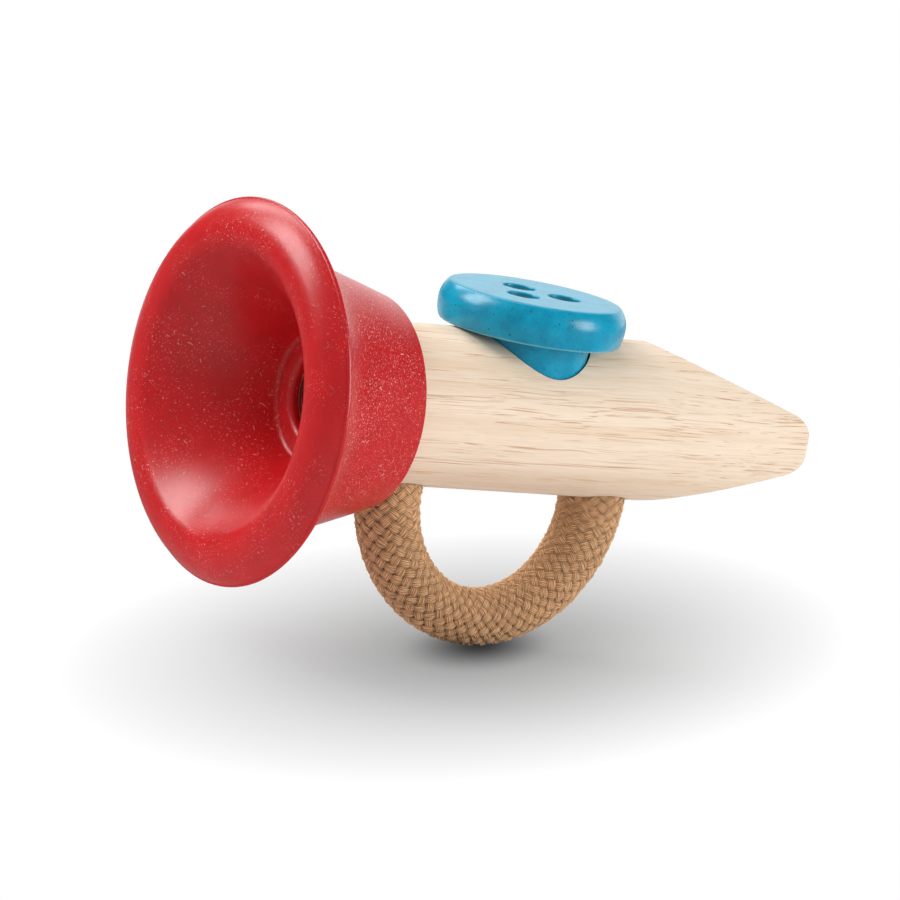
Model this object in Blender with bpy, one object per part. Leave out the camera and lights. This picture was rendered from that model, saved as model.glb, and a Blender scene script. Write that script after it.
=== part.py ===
# Wooden toy kazoo: a dowel body with a duck-bill mouthpiece, a flared horn glued on its other end,
# a button cap over the membrane, and a loop of braided rope as the handle.
# Metres, +Z up, +X towards the mouthpiece. The origin is below the middle of the part, at the
# lowest point of the rope.

import math

import bmesh
import bpy

# Fits between the pieces
clearance = 0.0003
cut_overrun = 0.002

# Body: a dowel with two flat tapers that leave the mouthpiece
body_diameter = 0.025
body_showing_length = 0.0773
taper_length = 0.0258
tip_height = 0.0078
tip_rounding = 0.0028
tip_side_rounding = 0.0010
bore_diameter = 0.0120
bore_stop_behind_taper = 0.0020
inlet_diameter = 0.0040

# Horn: distances along it are taken from its front
horn_length = 0.0266
horn_diameter = 0.0588
horn_socket_depth = 0.0076
horn_back_diameter = 0.0334
back_rounding = 0.0004
throat_diameter = 0.0133
throat_rounding = 0.0011
floor_diameter = 0.0212
floor_depth = 0.0175
floor_rounding = 0.0010
bowl_foot_angle = 68.0
bowl_handle_share = 0.33
lip_inner_angle = 40.0
lip_roll_radius = 0.0040
lip_roll_diameter = 0.0476
rim_edge_depth = 0.0032
rim_edge_width = 0.0008
rim_edge_rounding = 0.0003
# Handles of the curve down the horn's back, along it and across it, as shares of its length and drop
flare_handle_shares = ((0.19, 0.335), (0.31, 0.40))

# Cap: a button with three sound holes, and a hollow boss below it
cap_from_horn = 0.0281
button_diameter = 0.0294
button_thickness = 0.0061
button_flat_diameter = 0.0268
button_seat_diameter = 0.0276
button_widest_share = 0.50
boss_diameter = 0.0195
boss_wall = 0.0026
vent_roof = 0.0042
sound_hole_diameter = 0.0051
sound_hole_circle_diameter = 0.0090
sound_hole_count = 3
boss_edge_rounding = 0.0003
cap_seat_gap = 0.0002

# Chamber under the cap, with the membrane on its ring
chamber_floor_height = 0.0030
ring_thickness = 0.0010
ring_wall = 0.0026
membrane_thickness = 0.0002

# Rope handle: a half ellipse between two upright legs
first_leg_from_horn = 0.0074
leg_spacing = 0.0388
handle_drop = 0.0203
handle_lean = 0.0007
rope_leg_diameter = 0.0106
rope_bend_diameter = 0.0091
rope_cover_wall = 0.0016
rope_hole_depth = 0.0050

# Facets
dowel_side_steps = 36
taper_steps = 6
horn_steps = 68
button_steps = 64
hole_steps = 32
small_arc_steps = 3
long_arc_steps = 6
handle_steps = 30
rope_bevel_resolution = 4

# Places that follow from the sizes
body_radius = body_diameter / 2
overall_length = horn_length + body_showing_length
horn_front = -overall_length / 2
horn_back = horn_front + horn_length
tip_end = overall_length / 2
taper_start = tip_end - taper_length
body_back = horn_back - horn_socket_depth + clearance
bore_stop = taper_start - bore_stop_behind_taper
cap_place = horn_back + cap_from_horn
axis_height = body_radius + handle_drop + rope_bend_diameter / 2
chamber_diameter = boss_diameter + 2 * clearance
button_seat = body_radius + cap_seat_gap
ring_seat = chamber_floor_height + clearance
membrane_seat = ring_seat + ring_thickness + clearance
boss_foot = membrane_seat + membrane_thickness + clearance
first_leg = horn_back + first_leg_from_horn
second_leg = first_leg + leg_spacing


def clear_scene():
    for thing in list(bpy.data.objects):
        bpy.data.objects.remove(thing, do_unlink=True)


def make_material(name, colour, roughness, metallic=0.0):
    made = bpy.data.materials.new(name)
    made.use_nodes = True
    surface = made.node_tree.nodes["Principled BSDF"]
    surface.inputs["Base Color"].default_value = (*colour, 1.0)
    surface.inputs["Roughness"].default_value = roughness
    surface.inputs["Metallic"].default_value = metallic
    return made


def add_frame():
    frame = bpy.data.objects.new("kazoo_axis", None)
    frame.location = (0.0, 0.0, axis_height)
    bpy.context.collection.objects.link(frame)
    return frame


def add_object(name, data, frame, location=(0.0, 0.0, 0.0), rotation=(0.0, 0.0, 0.0)):
    made = bpy.data.objects.new(name, data)
    bpy.context.collection.objects.link(made)
    made.parent = frame
    made.location = location
    made.rotation_euler = rotation
    return made


def finish_mesh(name, shape, crease_degrees=35.0):
    mesh = bpy.data.meshes.new(name)
    shape.to_mesh(mesh)
    shape.free()
    mesh.shade_smooth()
    mesh.set_sharp_from_angle(angle=math.radians(crease_degrees))
    return mesh


# Points of an arc, given as (along the axis, out from the axis), from one angle to another in degrees.
# Angle 0 points along the axis and angle 90 points out from it.
def arc(along, out, radius_along, radius_out, start, end, steps):
    points = []
    for step in range(steps + 1):
        angle = math.radians(start + (end - start) * step / steps)
        points.append((along + radius_along * math.cos(angle), out + radius_out * math.sin(angle)))
    return points


def cubic(first, first_handle, last_handle, last, steps):
    points = []
    for step in range(steps + 1):
        share = step / steps
        rest = 1 - share
        weights = (rest**3, 3 * rest**2 * share, 3 * rest * share**2, share**3)
        corners = (first, first_handle, last_handle, last)
        points.append(tuple(sum(w * c[i] for w, c in zip(weights, corners)) for i in (0, 1)))
    return points


# A turned mesh from an outline of (height, radius) points, round the local Z axis.
# An outline that ends on the axis at both ends stays open, and any other is a closed ring.
def turned_mesh(name, outline, steps):
    shape = bmesh.new()
    verts = [shape.verts.new((radius, 0.0, height)) for height, radius in outline]
    edges = [shape.edges.new(pair) for pair in zip(verts, verts[1:])]
    if outline[0][1] > 0 or outline[-1][1] > 0:
        edges.append(shape.edges.new((verts[-1], verts[0])))
    bmesh.ops.spin(
        shape,
        geom=verts + edges,
        cent=(0.0, 0.0, 0.0),
        axis=(0.0, 0.0, 1.0),
        angle=math.tau,
        steps=steps,
        use_merge=True,
    )
    bmesh.ops.remove_doubles(shape, verts=shape.verts, dist=clearance / 1000)
    bmesh.ops.recalc_face_normals(shape, faces=shape.faces)
    return finish_mesh(name, shape)


def rod_mesh(name, diameter, length, steps):
    outline = [(0.0, 0.0), (0.0, diameter / 2), (length, diameter / 2), (length, 0.0)]
    return turned_mesh(name, outline, steps)


along_x = (0.0, math.radians(90), 0.0)
upright = (0.0, 0.0, 0.0)


# A cylinder that a Boolean takes out of a piece. It starts at its location and runs along its local Z.
def cut_rod(target, name, diameter, length, location, rotation, frame, steps):
    cutter = add_object(name, rod_mesh(name, diameter, length, steps), frame, location, rotation)
    cutter.hide_render = True
    cutter.display_type = "WIRE"
    cut = target.modifiers.new(name, "BOOLEAN")
    cut.operation = "DIFFERENCE"
    cut.solver = "EXACT"
    cut.object = cutter


# The lip, seen as a section: a roll that starts in the bowl and ends at the front of the horn, then a
# fuller curve out to the rim's edge. The inner angle is where the roll leaves the bowl's wall.
def lip_outline():
    roll_out, rim_out = lip_roll_diameter / 2, horn_diameter / 2
    start_angle = 180 + lip_inner_angle
    radius = lip_roll_radius
    inner = arc(radius, roll_out, radius, radius, start_angle, 180, small_arc_steps)
    rise = rim_out - rim_edge_rounding - roll_out
    outer_radius = (rim_edge_depth**2 + rise**2) / (2 * rim_edge_depth)
    end_angle = 180 - math.degrees(math.asin(rise / outer_radius))
    outer = arc(outer_radius, roll_out, outer_radius, outer_radius, 180, end_angle, long_arc_steps)
    return inner + outer[1:]


# The rim's narrow band, rounded at both edges, and the flared back down to the horn's back face.
def back_outline():
    rim_out = horn_diameter / 2
    rounding = rim_edge_rounding
    front = rim_edge_depth + rounding
    back = rim_edge_depth + rim_edge_width
    band = [(front, rim_out)]
    band += arc(back - rounding, rim_out - rounding, rounding, rounding, 90, 30, small_arc_steps)
    start = band[-1]
    end = (horn_length - back_rounding, horn_back_diameter / 2)
    run, drop = end[0] - start[0], start[1] - end[1]
    handles = [(start[0] + x * run, end[1] + y * drop) for x, y in flare_handle_shares]
    flare = cubic(start, handles[0], handles[1], end, 2 * long_arc_steps)
    corner = arc(end[0], end[1] - back_rounding, back_rounding, back_rounding, 90, 0, small_arc_steps)
    return band + flare[1:] + corner[1:]


# The bowl: the rounded edge of the throat, the flat floor with its hollowed corner, and a wall that
# flares like a bell's until it runs into the lip. The foot angle is the wall's slope at the floor.
def bowl_outline(lip_start):
    rounding, corner = throat_rounding, floor_rounding
    throat = (floor_depth + rounding, throat_diameter / 2 + rounding)
    points = arc(throat[0], throat[1], rounding, rounding, 270, 180, small_arc_steps)
    foot_corner = (floor_depth - corner, floor_diameter / 2 - corner)
    points += arc(foot_corner[0], foot_corner[1], corner, corner, 0, bowl_foot_angle, small_arc_steps)
    foot = points[-1]
    steep, leave = math.radians(bowl_foot_angle), math.radians(lip_inner_angle)
    reach = bowl_handle_share * math.dist(foot, lip_start)
    foot_handle = (foot[0] - reach * math.sin(steep), foot[1] + reach * math.cos(steep))
    lip_handle = (lip_start[0] + reach * math.sin(leave), lip_start[1] - reach * math.cos(leave))
    wall = cubic(foot, foot_handle, lip_handle, lip_start, long_arc_steps + 1)
    return points + wall[1:-1]


def add_horn(frame):
    socket_radius = body_radius + clearance
    socket_bottom = horn_length - horn_socket_depth
    lip = lip_outline()
    outline = bowl_outline(lip[0])
    outline += lip
    outline += back_outline()
    outline += [(horn_length, socket_radius), (socket_bottom, socket_radius)]
    outline += [(socket_bottom, throat_diameter / 2)]
    horn_mesh = turned_mesh("horn", outline, horn_steps)
    horn = add_object("horn", horn_mesh, frame, (horn_front, 0.0, 0.0), along_x)
    horn.data.materials.append(make_material("red_painted_wood_fibre", (0.50, 0.012, 0.018), 0.35))
    return horn


# Cross-sections of the dowel as (distance from its back, radius, half height). The flats of the tapers
# start at nothing, so the sections there follow equal steps of the angle at which a flat meets the side.
def body_sections():
    length = tip_end - body_back
    start = length - taper_length
    drop = body_radius - tip_height / 2

    def half_height(along):
        return body_radius - drop * (along - start) / taper_length

    rounding_start = length - tip_rounding
    last_angle = math.asin(half_height(rounding_start) / body_radius)
    sections = [(0.0, body_radius, body_radius)]
    for step in range(taper_steps + 1):
        angle = math.radians(90) + (last_angle - math.radians(90)) * step / taper_steps
        height = body_radius * math.sin(angle)
        sections.append((start + (body_radius - height) * taper_length / drop, body_radius, height))
    steps = 2 * small_arc_steps
    for step in range(1, steps + 1):
        along = rounding_start + tip_rounding * math.sin(math.radians(90) * step / steps)
        height = half_height(along) - round_off(along, length)
        sections.append((along, side_radius(along, length), height))
    return sections


# How far the top and bottom of the tip, and then its sides, are rounded away near its end.
def round_off(along, length):
    into = max(0.0, along - (length - tip_rounding))
    return tip_rounding - math.sqrt(max(0.0, tip_rounding**2 - into**2))


def side_radius(along, length):
    into = max(0.0, along - (length - tip_side_rounding))
    return body_radius - tip_side_rounding + math.sqrt(max(0.0, tip_side_rounding**2 - into**2))


# The dowel as a loft: each section is two round sides joined by flats above and below.
def body_mesh():
    shape = bmesh.new()
    rings = []
    for along, radius, half_height in body_sections():
        reach = math.asin(min(1.0, half_height / radius))
        ring = []
        for middle in (0.0, math.pi):
            for step in range(dowel_side_steps + 1):
                angle = middle + reach * (2 * step / dowel_side_steps - 1)
                place = (along, radius * math.cos(angle), radius * math.sin(angle))
                ring.append(shape.verts.new(place))
        rings.append(ring)
    for ring, following in zip(rings, rings[1:]):
        for i in range(len(ring)):
            j = (i + 1) % len(ring)
            shape.faces.new((ring[i], ring[j], following[j], following[i]))
    shape.faces.new(rings[0])
    shape.faces.new(rings[-1])
    bmesh.ops.remove_doubles(shape, verts=shape.verts, dist=clearance / 1000)
    bmesh.ops.dissolve_degenerate(shape, edges=shape.edges, dist=clearance / 1000)
    bmesh.ops.recalc_face_normals(shape, faces=shape.faces)
    return finish_mesh("body", shape)


def add_body(frame):
    body = add_object("body", body_mesh(), frame, (body_back, 0.0, 0.0))
    body.data.materials.append(make_material("rubberwood", (0.72, 0.55, 0.39), 0.55))
    bore_length = bore_stop - body_back + cut_overrun
    bore_place = (body_back - cut_overrun, 0.0, 0.0)
    cut_rod(body, "bore", bore_diameter, bore_length, bore_place, along_x, frame, hole_steps)
    inlet_length = tip_end - bore_stop + 2 * cut_overrun
    inlet_place = (bore_stop - cut_overrun, 0.0, 0.0)
    cut_rod(body, "inlet", inlet_diameter, inlet_length, inlet_place, along_x, frame, hole_steps)
    length = body_radius - chamber_floor_height + cut_overrun
    place = (cap_place, 0.0, chamber_floor_height)
    cut_rod(body, "chamber", chamber_diameter, length, place, upright, frame, button_steps)
    diameter = rope_leg_diameter + 2 * clearance
    length = rope_hole_depth + cut_overrun
    for name, leg in (("first_rope_hole", first_leg), ("second_rope_hole", second_leg)):
        place = (leg, 0.0, -body_radius - cut_overrun)
        cut_rod(body, name, diameter, length, place, upright, frame, hole_steps)
    return body


# The button's section: a flat seat, a round side, and a flat top that cuts the side's circle before it
# has turned in, which leaves an edge.
def button_outline():
    seat_out, flat_out = button_seat_diameter / 2, button_flat_diameter / 2
    widest = button_diameter / 2
    middle = button_thickness * button_widest_share
    above = button_thickness - middle
    steps = small_arc_steps + 2
    lower = arc(middle, seat_out, middle, widest - seat_out, 180, 90, steps)
    edge_angle = 90 - 2 * math.degrees(math.atan2(widest - flat_out, above))
    bulge = above / math.cos(math.radians(edge_angle))
    upper = arc(middle, widest - bulge, bulge, bulge, 90, edge_angle, steps)
    return lower + upper[1:]


def add_cap(frame):
    boss_radius = boss_diameter / 2
    vent_radius = boss_radius - boss_wall
    foot = boss_foot - button_seat
    edge = boss_edge_rounding
    outline = [(button_thickness - vent_roof, 0.0), (button_thickness - vent_roof, vent_radius)]
    outline += [(foot, vent_radius), (foot, boss_radius - edge)]
    outline += [(foot + edge, boss_radius), (0.0, boss_radius)]
    outline += button_outline()
    outline += [(button_thickness, 0.0)]
    place = (cap_place, 0.0, button_seat)
    cap_mesh = turned_mesh("membrane_cap", outline, button_steps)
    cap = add_object("membrane_cap", cap_mesh, frame, place)
    cap.data.materials.append(make_material("blue_painted_wood_fibre", (0.008, 0.27, 0.43), 0.38))
    length = vent_roof + 2 * cut_overrun
    for number in range(sound_hole_count):
        turn = math.radians(90) + math.tau * number / sound_hole_count
        reach = sound_hole_circle_diameter / 2
        x, y = cap_place + reach * math.cos(turn), reach * math.sin(turn)
        start = (x, y, button_seat + button_thickness - vent_roof - cut_overrun)
        name = f"sound_hole_{number + 1}"
        cut_rod(cap, name, sound_hole_diameter, length, start, upright, frame, hole_steps)
    return cap


def add_membrane(frame):
    outer = boss_diameter / 2
    film = rod_mesh("membrane", boss_diameter, membrane_thickness, button_steps)
    membrane = add_object("membrane", film, frame, (cap_place, 0.0, membrane_seat))
    membrane.data.materials.append(make_material("clear_film", (0.80, 0.80, 0.78), 0.25))
    inner = outer - ring_wall
    section = [(0.0, inner), (0.0, outer), (ring_thickness, outer), (ring_thickness, inner)]
    ring_mesh = turned_mesh("membrane_ring", section, button_steps)
    ring = add_object("membrane_ring", ring_mesh, frame, (cap_place, 0.0, ring_seat))
    ring.data.materials.append(make_material("card", (0.62, 0.55, 0.44), 0.85))
    return membrane, ring


# The handle's centreline as (x, z, radius of the rope), from the top of one rope hole to the other.
def handle_route():
    middle = (first_leg + second_leg) / 2
    end = -body_radius + rope_hole_depth - clearance
    leg_radius, bend_radius = rope_leg_diameter / 2, rope_bend_diameter / 2
    route = [(first_leg, end, leg_radius), (first_leg, (end - body_radius) / 2, leg_radius)]
    for step in range(handle_steps + 1):
        turn = math.pi * step / handle_steps
        depth = math.sin(turn)
        x = middle - leg_spacing / 2 * math.cos(turn) + handle_lean * depth
        radius = leg_radius + (bend_radius - leg_radius) * depth
        route.append((x, -body_radius - handle_drop * depth, radius))
    route += [(second_leg, (end - body_radius) / 2, leg_radius), (second_leg, end, leg_radius)]
    return route


def rope_curve(name, route, inset, caps):
    curve = bpy.data.curves.new(name, "CURVE")
    curve.dimensions = "3D"
    curve.bevel_depth = rope_leg_diameter / 2
    curve.bevel_resolution = rope_bevel_resolution
    curve.use_fill_caps = caps
    spline = curve.splines.new("POLY")
    spline.points.add(len(route) - 1)
    for point, (x, z, radius) in zip(spline.points, route):
        point.co = (x, 0.0, z, 1.0)
        point.radius = (radius - inset) / curve.bevel_depth
    spline.use_smooth = True
    return curve


def add_rope(frame):
    route = handle_route()
    cover = add_object("rope_cover", rope_curve("rope_cover", route, 0.0, False), frame)
    cover.data.materials.append(make_material("tan_cotton_braid", (0.50, 0.33, 0.18), 0.9))
    wall = cover.modifiers.new("wall", "SOLIDIFY")
    wall.thickness = rope_cover_wall
    wall.offset = -1.0
    inset = rope_cover_wall + clearance
    core = add_object("rope_core", rope_curve("rope_core", route, inset, True), frame)
    core.data.materials.append(make_material("cotton_filler", (0.75, 0.70, 0.62), 0.95))
    return cover, core


clear_scene()
kazoo_axis = add_frame()
add_horn(kazoo_axis)
add_body(kazoo_axis)
add_membrane(kazoo_axis)
add_cap(kazoo_axis)
add_rope(kazoo_axis)
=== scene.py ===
# Toy kazoo: flared horn, wooden body, button cap and braided rope handle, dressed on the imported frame
import math
import random
from functools import partial

import bpy
from mathutils import Matrix, Vector


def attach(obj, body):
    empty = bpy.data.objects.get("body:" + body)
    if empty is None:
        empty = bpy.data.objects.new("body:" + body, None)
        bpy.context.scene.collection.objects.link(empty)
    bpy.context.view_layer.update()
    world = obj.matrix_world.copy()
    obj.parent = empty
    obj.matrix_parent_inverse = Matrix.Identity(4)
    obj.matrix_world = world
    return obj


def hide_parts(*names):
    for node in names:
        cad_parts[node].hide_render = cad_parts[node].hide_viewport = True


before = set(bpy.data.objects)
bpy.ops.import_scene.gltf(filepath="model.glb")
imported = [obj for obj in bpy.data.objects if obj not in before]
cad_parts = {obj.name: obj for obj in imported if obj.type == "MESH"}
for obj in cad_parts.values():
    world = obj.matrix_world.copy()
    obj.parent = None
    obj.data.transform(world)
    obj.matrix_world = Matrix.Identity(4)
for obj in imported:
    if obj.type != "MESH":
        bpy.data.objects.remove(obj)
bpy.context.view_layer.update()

mm = 0.001
axisHeight = 37.35      # middle of the wooden body above the floor, in mm
bodyRadius = 12.5       # half of a 25 mm dowel
print("frame loaded")


# Small helpers
def linear(hexColour):
    parts = [int(hexColour[i:i + 2], 16) / 255 for i in (1, 3, 5)]
    return [c / 12.92 if c <= 0.04045 else ((c + 0.055) / 1.055) ** 2.4 for c in parts] + [1.0]


# settings that many nodes share
smooth = {"interpolation_type": "SMOOTHSTEP"}
coloured = {"data_type": "RGBA"}


def addNode(tree, kind, inputs=(), **settings):
    # inputs go by socket name, or in the sockets' order, and a node stands for its first open output
    made = tree.nodes.new("ShaderNode" + kind)
    for name, value in settings.items():
        setattr(made, name, value)
    for socket, value in inputs.items() if isinstance(inputs, dict) else enumerate(inputs):
        if isinstance(value, bpy.types.Node):
            value = next(output for output in value.outputs if output.enabled)
        if isinstance(value, bpy.types.NodeSocket):
            tree.links.new(value, made.inputs[socket])
        else:
            made.inputs[socket].default_value = value
    return made


def newMaterial(name):
    made = bpy.data.materials.new(name)
    made.use_nodes = True
    made.node_tree.nodes.clear()
    return made, partial(addNode, made.node_tree)


def wear(piece, material):
    piece.data.materials.clear()
    piece.data.materials.append(material)


def shapeFromData(name, points, faces):
    mesh = bpy.data.meshes.new(name)
    mesh.from_pydata(points, [], faces)
    mesh.update()
    mesh.shade_smooth()
    piece = bpy.data.objects.new(name, mesh)
    bpy.context.collection.objects.link(piece)
    return piece


def ringFaces(base, rings, size, flipped=False):
    # the faces between rings of points that follow each other, and one face over each end
    faces = []
    for i in range(rings - 1):
        for j in range(size):
            a, b = base + i * size + j, base + i * size + (j + 1) % size
            faces.append((a, a + size, b + size, b) if flipped else (a, b, b + size, a + size))
    last = base + (rings - 1) * size
    for start, turned in ((base, not flipped), (last, flipped)):
        end = list(range(start, start + size))
        faces.append(end[::-1] if turned else end)
    return faces


# Camera, solved from the outline of the kazoo in the photo
shot = {
    "azimuth": -36.12,
    "elevation": 9.567,
    "roll": 10.773,
    "target": (-7.711, 0.0, 30.615),
    "distance": 1038.84,
    "focalPixels": 6753.2,
    "imagePixels": 900,
    "sensor": 36.0,
}


def addCamera():
    turn = Matrix.Rotation(math.radians(shot["azimuth"]), 4, "Z")
    turn @= Matrix.Rotation(math.radians(90 - shot["elevation"]), 4, "X")
    turn @= Matrix.Rotation(math.radians(shot["roll"]), 4, "Z")
    back = turn.to_3x3() @ Vector((0, 0, 1))
    data = bpy.data.cameras.new("camera")
    data.sensor_width = shot["sensor"]
    data.lens = shot["focalPixels"] * shot["sensor"] / shot["imagePixels"]
    data.clip_start = 0.05
    data.clip_end = 20.0
    camera = bpy.data.objects.new("camera", data)
    place = (Vector(shot["target"]) + back * shot["distance"]) * mm
    camera.matrix_world = Matrix.Translation(place) @ turn
    bpy.context.collection.objects.link(camera)
    bpy.context.scene.camera = camera


addCamera()
print("camera placed")


# Rope handle: 24 flat strands of cotton yarn, plaited over one and under one round a soft filler
rope = {
    "firstLeg": -17.95,
    "legSpacing": 38.8,
    "drop": 20.3,
    "lean": 0.7,
    "legDiameter": 10.6,
    "bendDiameter": 9.1,
    "intoHole": 4.4,
    "strandsEachWay": 12,
    "crossingSpacing": 1.0,     # along the rope, from one crossing of a strand to the next
    "strandWidth": 1.86,
    "strandThickness": 0.50,
    "weaveDepth": 0.35,
    "yarnsInStrand": 6,
    "yarnRelief": 0.13,
    "slowTwist": 1.4,           # how far the whole braid turns from one end to the other, in radians
    "stepsPerCrossing": 4,
    "looseness": 0.09,
    "driftWaves": ((0.10, 1.7), (0.06, 4.1)),   # how far a yarn strays sideways, and radians to the mm
    "liftWaves": ((1.0, 2.3), (0.6, 5.3)),      # and how far it stands off the strand
    "underWidth": 0.86,         # width of a strand where it dives under, as a share of that on top
    "hollowDepth": 1.1,         # how far below the outside a strand's painted shade is darkest
    "fillerInset": 1.05,
    "fillerSides": 28,
    "fillerSpacing": 0.8,
    "pathSpacing": 2.5,         # between the points that are declared as the rope's route
}


def ropeCentreline(spacing):
    middle = rope["firstLeg"] + rope["legSpacing"] / 2
    low = axisHeight - bodyRadius
    leg, bend = rope["legDiameter"] / 2, rope["bendDiameter"] / 2
    coarse = [(rope["firstLeg"], low + rope["intoHole"], leg)]
    steps = 400
    for step in range(steps + 1):
        turn = math.pi * step / steps
        depth = math.sin(turn)
        x = middle - rope["legSpacing"] / 2 * math.cos(turn) + rope["lean"] * depth
        coarse.append((x, low - rope["drop"] * depth, leg + (bend - leg) * depth))
    coarse.append((rope["firstLeg"] + rope["legSpacing"], low + rope["intoHole"], leg))
    # the same route again at even steps along its length
    lengths = [0.0]
    for a, b in zip(coarse, coarse[1:]):
        lengths.append(lengths[-1] + math.hypot(b[0] - a[0], b[1] - a[1]))
    count = int(lengths[-1] / spacing)
    even, at = [], 0
    for i in range(count + 1):
        want = lengths[-1] * i / count
        while at < len(coarse) - 2 and lengths[at + 1] < want:
            at += 1
        share = (want - lengths[at]) / (lengths[at + 1] - lengths[at])
        even.append(tuple(a + (b - a) * share for a, b in zip(coarse[at], coarse[at + 1])))
    return even, lengths[-1]


def routeAxes(route, i):
    # along the rope at one of its points, and out from its bend
    before, after = route[max(0, i - 1)], route[min(len(route) - 1, i + 1)]
    along = Vector((after[0] - before[0], 0, after[1] - before[1])).normalized()
    return along, Vector((-along.z, 0, along.x))


def wander(waves, phases, s):
    return sum(size * math.sin(s * pace + phase) for (size, pace), phase in zip(waves, phases))


def strandSection():
    # across one strand, as (-1 to 1 across, 0 to 1 up): a ridge for each yarn, and a flat underside
    points = []
    yarns = rope["yarnsInStrand"]
    for yarn in range(yarns):
        for part, ridge in ((0.0, 0.0), (0.3, 1.0), (0.7, 1.0)):
            across = -1 + 2 * (yarn + part) / yarns
            points.append((across, ridge))
    points.append((1.0, 0.0))
    return points


def addStrands(name, way):
    noise = random.Random(7 if way > 0 else 11)
    route, length = ropeCentreline(rope["crossingSpacing"] / rope["stepsPerCrossing"])
    section = strandSection()
    side = Vector((0, 1, 0))
    yarns = rope["yarnsInStrand"]
    count = rope["strandsEachWay"]
    perMm = math.pi / (count * rope["crossingSpacing"])
    points, faces, fits, heights = [], [], [], []
    for strand in range(count):
        start = math.tau * strand / count
        phases = [[noise.uniform(0, math.tau) for _ in range(4)] for _ in range(yarns + 1)]
        base = len(points)
        for i, (x, z, radius) in enumerate(route):
            along, out = routeAxes(route, i)
            s = length * i / (len(route) - 1)
            turn = start + way * perMm * s + rope["slowTwist"] * s / length
            wave = way * math.cos(count * perMm * s)
            wave *= 1.5 - 0.5 * wave * wave
            over = 0.5 + 0.5 * wave
            width = rope["strandWidth"] * radius / (rope["legDiameter"] / 2)
            width *= rope["underWidth"] + (1 - rope["underWidth"]) * over
            middle = radius - rope["strandThickness"] / 2 - rope["yarnRelief"]
            middle -= rope["weaveDepth"] * (1 - wave) / 2
            # the strand runs at a slant, so its width covers less than that round the rope
            slant = math.atan(perMm * radius)
            spots = []      # sideways, out from the middle, place across the strand and height for its painted shade
            for across, ridge in section:
                yarn = min(yarns - 1, int((across + 1) / 2 * yarns))
                p = phases[yarn]
                drift = wander(rope["driftWaves"], p[:2], s)
                lift = wander(rope["liftWaves"], p[2:], s) * rope["looseness"] * over
                crown = (1 - across**4) ** 0.5 if abs(across) < 1 else 0.0
                rise = rope["strandThickness"] * (crown - 0.5)
                rise += rope["yarnRelief"] * (ridge - 0.2) + lift * ridge
                sideways = (across + drift * (1 - abs(across)) * 0.6) * width / 2
                height = max(0.0, min(1.0, (middle + rise - radius) / rope["hollowDepth"] + 1))
                spots.append((sideways, middle + rise, (across + 1) / 2, height))
            # underside
            for across in (0.7, -0.7):
                spots.append((across * width / 2, middle - rope["strandThickness"] * 0.45, 0.5, 0.0))
            for sideways, reach, across, height in spots:
                # across the strand is partly round the rope and partly along it
                angle = turn + sideways * math.cos(slant) / radius
                shift = -way * sideways * math.sin(slant)
                outward = out * math.cos(angle) + side * math.sin(angle)
                points.append((Vector((x, 0, z)) + along * shift + outward * reach) * mm)
                fits.append((s / 10, (strand + across) / count))
                heights.append(height)
        faces += ringFaces(base, len(route), len(spots), way < 0)
    piece = shapeFromData(name, points, faces)
    mesh = piece.data
    height = mesh.attributes.new("strandHeight", "FLOAT", "POINT")
    height.data.foreach_set("value", heights)
    layer = mesh.uv_layers.new(name="alongStrand")
    layer.data.foreach_set("uv", [c for loop in mesh.loops for c in fits[loop.vertex_index]])
    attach(piece, "instrument")
    print(name, len(mesh.polygons), "faces")
    return piece


def addFiller():
    route, _ = ropeCentreline(rope["fillerSpacing"])
    sides = rope["fillerSides"]
    points = []
    for i, (x, z, radius) in enumerate(route):
        _, out = routeAxes(route, i)
        for j in range(sides):
            angle = math.tau * j / sides
            outward = out * math.cos(angle) + Vector((0, 1, 0)) * math.sin(angle)
            points.append((Vector((x, 0, z)) + outward * (radius - rope["fillerInset"])) * mm)
    faces = ringFaces(0, len(route), sides)
    piece = shapeFromData("ropeFiller", points, faces)
    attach(piece, "instrument")
    return piece


# Cotton braid: matt spun yarn that scatters light, with painted shade that makes it darker and browner down
# between the strands
cotton = {
    "crest": "#dfb284",
    "hollow": "#4a2410",
    "hollowTo": 0.52,           # share of a strand's height up to which it has the painted shade colour of the hollows
    "crestFrom": 0.97,
    "grooveFrom": 0.22,         # distance from a yarn's middle where its painted groove shade starts, in yarn widths
    "roughness": 0.85,
    "sheen": 0.35,
    "sheenTint": "#ffe9c8",
    "tints": {                  # each pattern multiplies the colour by a value between these two
        "patches": ((0.78, 0.75, 0.72, 1), (1.20, 1.19, 1.16, 1)),
        "fluff": ((0.72, 0.69, 0.66, 1), (1.28, 1.28, 1.28, 1)),
        # the groove's tint is painted shade in the creases between the yarns
        "groove": ((1, 1, 1, 1), (0.50, 0.43, 0.37, 1)),
    },
}


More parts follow.
